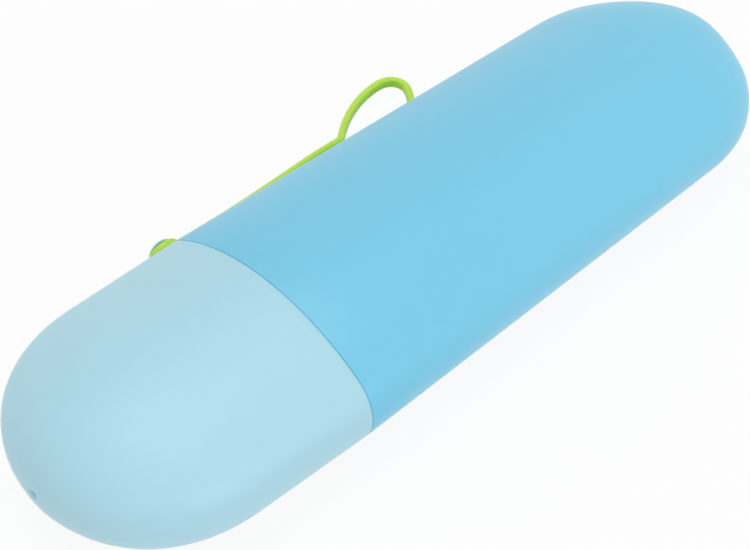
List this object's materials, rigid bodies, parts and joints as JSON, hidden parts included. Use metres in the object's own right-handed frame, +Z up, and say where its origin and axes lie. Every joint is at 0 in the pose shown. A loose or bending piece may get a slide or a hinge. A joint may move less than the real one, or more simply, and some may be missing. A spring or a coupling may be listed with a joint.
{
  "type": "electric toothbrush travel case",
  "caption": "Capsule-shaped two-part travel case for an electric toothbrush, with a pull-off cap, a buttoned closure strap and a finger loop.",
  "frame": {"origin": "centre of the underside of the whole part's bounding box, strap and finger loop included, with the case lying on its broad face", "axes": "X along the case, with the cap at -X and the closed far end at +X; Y across it, with the strap and finger loop on +Y; Z up through its thickness"},
  "size_m": [0.22, 0.0792, 0.035],
  "materials": {
    "sky_blue_plastic": "fine matt moulded, slightly translucent",
    "pale_blue_plastic": "fine matt moulded, slightly translucent",
    "inner_plastic": "satin moulded, milky white",
    "stud_plastic": "satin moulded",
    "clip_steel": "stamped spring steel",
    "green_silicone": "smooth soft silicone"
  },
  "bodies": {
    "case_body": {"body_shell": "sky_blue_plastic", "neck_sleeve": "inner_plastic", "handle_cradle": "inner_plastic", "head_cup_left": "inner_plastic", "head_cup_right": "inner_plastic", "finger_loop": "green_silicone"},
    "cap": {"cap_shell": "pale_blue_plastic", "cap_stud": "stud_plastic", "stud_clip": "clip_steel"},
    "strap": {"closure_strap": "green_silicone", "strap_eyelet": "green_silicone"}
  },
  "joints": [
    {"name": "cap_slide", "type": "slide", "parent": "case_body", "child": "cap", "axis": [-1, 0, 0], "range_m": [0, 0.08]},
    {"name": "strap_swing", "type": "hinge", "parent": "case_body", "child": "strap", "pos_m": [0.0042, 0.02819, 0.0175], "axis": [0, 0, -1], "range_deg": [0, 110], "deforming": ["strap_eyelet"]}
  ]
}
